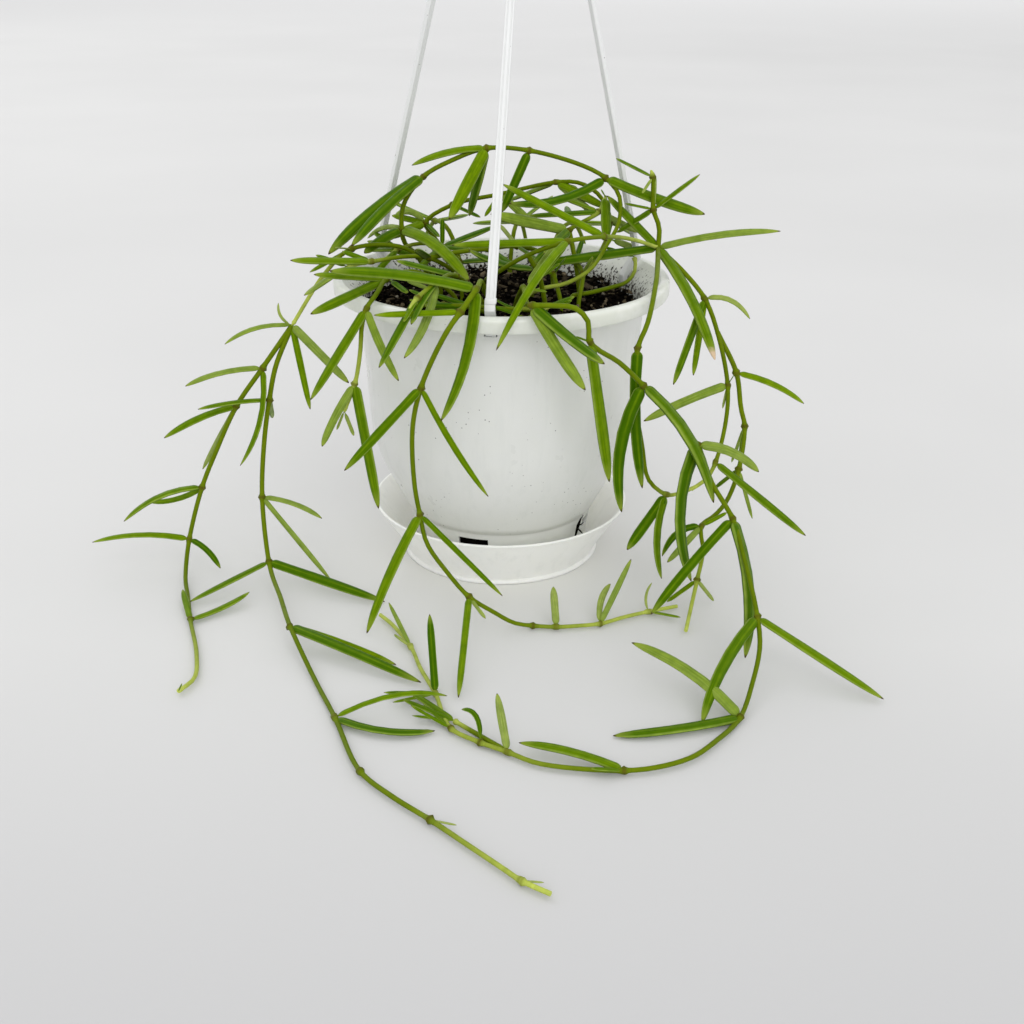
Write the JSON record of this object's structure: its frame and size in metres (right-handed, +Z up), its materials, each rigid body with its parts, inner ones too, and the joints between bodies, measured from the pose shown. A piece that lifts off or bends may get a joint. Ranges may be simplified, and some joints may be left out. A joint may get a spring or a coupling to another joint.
{
  "type": "potted climbing plant",
  "caption": "Trailing succulent vine with slim paired leaves in a round white hanging pot with a wide lip, three-armed hanger and clip-on saucer, stems spilling onto the surface.",
  "frame": {"origin": "middle of the flat underside of the saucer, on the surface that the object stands on; it is on the pot's axis", "axes": "+Z up along the pot's axis, towards the hook; -Y to the side that the longest stems trail to; +X to the right as seen from that side"},
  "size_m": [0.336, 0.406, 0.4322],
  "materials": {
    "saucer_plastic": "slightly creamy moulded plastic, satin",
    "pot_plastic": "white moulded plastic, soft gloss",
    "hanger_plastic": "white moulded plastic, soft gloss",
    "soil": "dark bark potting mix, rough and matt",
    "foliage": "fleshy leaf, satin, mid green"
  },
  "bodies": {
    "root": {"saucer": "saucer_plastic", "pot": "pot_plastic", "hanger": "hanger_plastic", "soil": "soil", "vine_left": "foliage", "vine_short": "foliage", "vine_high_left": "foliage", "vine_middle": "foliage", "vine_front": "foliage", "vine_right": "foliage", "vine_arch": "foliage", "vine_back_arch": "foliage", "vine_inner_right": "foliage", "vine_inner_left": "foliage", "vine_curled": "foliage", "vine_back_left": "foliage", "vine_back_middle": "foliage", "vine_back_right": "foliage"}
  },
  "joints": []
}
